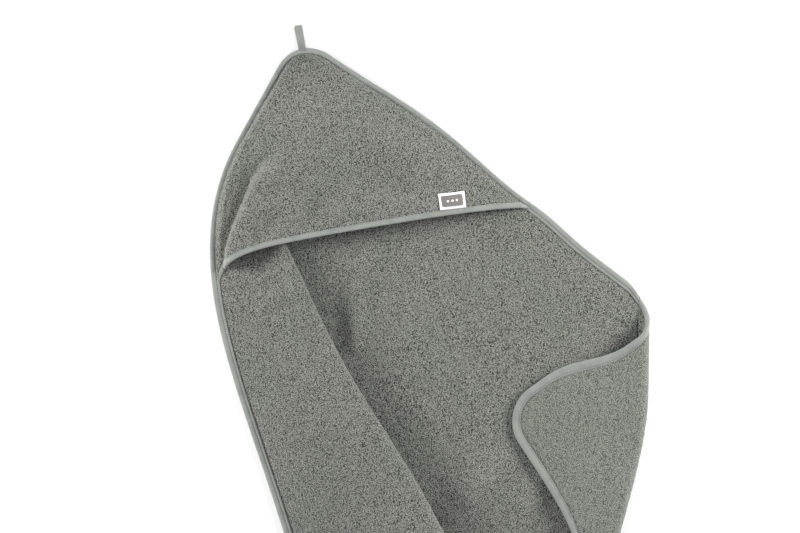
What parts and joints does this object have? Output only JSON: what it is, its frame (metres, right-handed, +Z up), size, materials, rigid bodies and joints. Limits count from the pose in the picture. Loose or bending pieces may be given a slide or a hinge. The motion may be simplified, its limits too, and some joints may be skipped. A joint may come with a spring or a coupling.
{
  "type": "hooded baby towel",
  "caption": "Square terry towel with a sewn corner hood, jersey binding and a hanging loop, laid out with a pleat and a folded corner.",
  "frame": {"origin": "on the towel's flat underside, at the middle of the square that it is cut from, where it rests on the surface", "axes": "+Z up, square to the surface; +Y along the towel's diagonal towards the hooded corner; +X towards the folded corner"},
  "size_m": [0.5033, 1.0322, 0.0338],
  "materials": {
    "terry": "looped pile",
    "jersey": "smooth knit tape",
    "tape": "folded knit tape",
    "thread": "sewing thread",
    "satin": "woven satin label"
  },
  "bodies": {
    "towel": {"towel_panel": "terry", "corner_fold": "terry", "hood_panel": "terry", "edge_binding": "jersey", "upper_fold_binding": "jersey", "lower_fold_binding": "jersey", "hood_binding": "jersey", "edge_stitching": "thread", "hem_stitching": "thread", "hood_stitching": "thread", "loop_bartack": "thread", "brand_label": "satin"},
    "folded_corner": {"corner_flap": "terry", "corner_binding": "jersey"},
    "loop": {"hanging_loop": "tape"},
    "side_tab": {"care_label": "satin"}
  },
  "joints": [
    {"name": "corner_fold_back", "type": "hinge", "parent": "towel", "child": "folded_corner", "pos_m": [0.32236, -0.0499, 0.0118], "axis": [0.153, 0.9882, 0], "range_deg": [0, 180], "deforming": ["corner_fold", "upper_fold_binding", "lower_fold_binding"]},
    {"name": "loop_lift", "type": "hinge", "parent": "towel", "child": "loop", "pos_m": [0.003, 0.5115, 0.004], "axis": [1, 0, 0], "range_deg": [0, 85]},
    {"name": "side_tab_lift", "type": "hinge", "parent": "towel", "child": "side_tab", "pos_m": [-0.1004, -0.0907, 0.0015], "axis": [0, 1, 0], "range_deg": [0, 85]}
  ]
}
